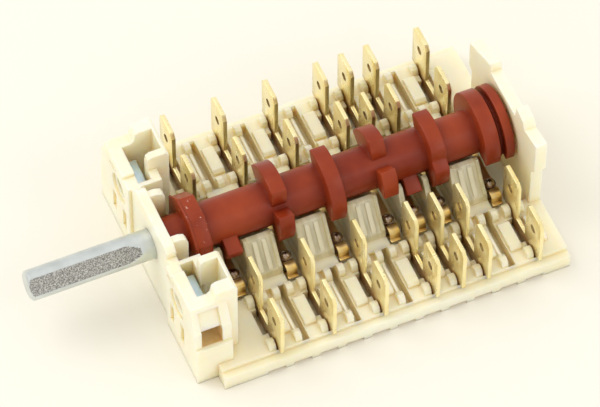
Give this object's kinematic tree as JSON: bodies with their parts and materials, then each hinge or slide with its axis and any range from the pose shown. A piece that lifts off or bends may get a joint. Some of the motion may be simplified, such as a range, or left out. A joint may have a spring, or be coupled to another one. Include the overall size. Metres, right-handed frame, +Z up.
{
  "type": "oven selector switch",
  "caption": "Oven selector switch: an open moulded frame whose spindle turns a camshaft that works contact leaves between rows of forked push-on tab terminals.",
  "frame": {"origin": "middle of the bounding box at the underside of the base", "axes": "+X along the spindle from its free end to the rear wall, +Z up from the base, +Y to the far row of terminals"},
  "size_m": [0.0994, 0.0544, 0.0252],
  "materials": {
    "frame_moulding": "satin, cream",
    "camshaft_moulding": "satin, red-brown",
    "spindle_zinc": "zinc plated",
    "terminal_brass": "bright rolled",
    "leaf_copper": "bright rolled",
    "strip_brass": "bright rolled",
    "contact_silver": "silver alloy",
    "spring_steel": "bright",
    "nut_zinc": "zinc plated"
  },
  "bodies": {
    "switch_frame": {"frame": "frame_moulding", "detent_spring": "spring_steel", "square_nut_near": "nut_zinc", "square_nut_far": "nut_zinc", "terminal_near_00": "terminal_brass", "terminal_near_02": "terminal_brass", "terminal_near_04": "terminal_brass", "terminal_near_06": "terminal_brass", "terminal_near_07": "terminal_brass", "terminal_near_08": "terminal_brass", "terminal_near_10": "terminal_brass", "terminal_far_00": "terminal_brass", "terminal_far_02": "terminal_brass", "terminal_far_04": "terminal_brass", "terminal_far_06": "terminal_brass", "terminal_far_07": "terminal_brass", "terminal_far_08": "terminal_brass", "terminal_far_10": "terminal_brass", "contact_leaf_00": "leaf_copper", "contact_leaf_02": "leaf_copper", "contact_leaf_04": "leaf_copper", "contact_leaf_06": "leaf_copper", "contact_leaf_07": "leaf_copper", "contact_leaf_08": "leaf_copper", "contact_leaf_10": "leaf_copper", "contact_strip_00": "strip_brass", "contact_strip_02": "strip_brass", "contact_strip_04": "strip_brass", "contact_strip_06": "strip_brass", "contact_strip_07": "strip_brass", "contact_strip_08": "strip_brass", "contact_strip_10": "strip_brass", "moving_contact_00": "contact_silver", "moving_contact_02": "contact_silver", "moving_contact_04": "contact_silver", "moving_contact_06": "contact_silver", "moving_contact_07": "contact_silver", "moving_contact_08": "contact_silver", "moving_contact_10": "contact_silver", "fixed_contact_00": "contact_silver", "fixed_contact_02": "contact_silver", "fixed_contact_04": "contact_silver", "fixed_contact_06": "contact_silver", "fixed_contact_07": "contact_silver", "fixed_contact_08": "contact_silver", "fixed_contact_10": "contact_silver"},
    "turning_shaft": {"camshaft": "camshaft_moulding", "spindle": "spindle_zinc"}
  },
  "joints": [
    {"name": "selector_turn", "type": "hinge", "parent": "switch_frame", "child": "turning_shaft", "pos_m": [0, 0, 0.014], "axis": [1, 0, 0], "continuous": true, "deforming": ["detent_spring", "contact_leaf_00", "contact_leaf_02", "contact_leaf_04", "contact_leaf_06", "contact_leaf_07", "contact_leaf_08", "contact_leaf_10"]}
  ]
}
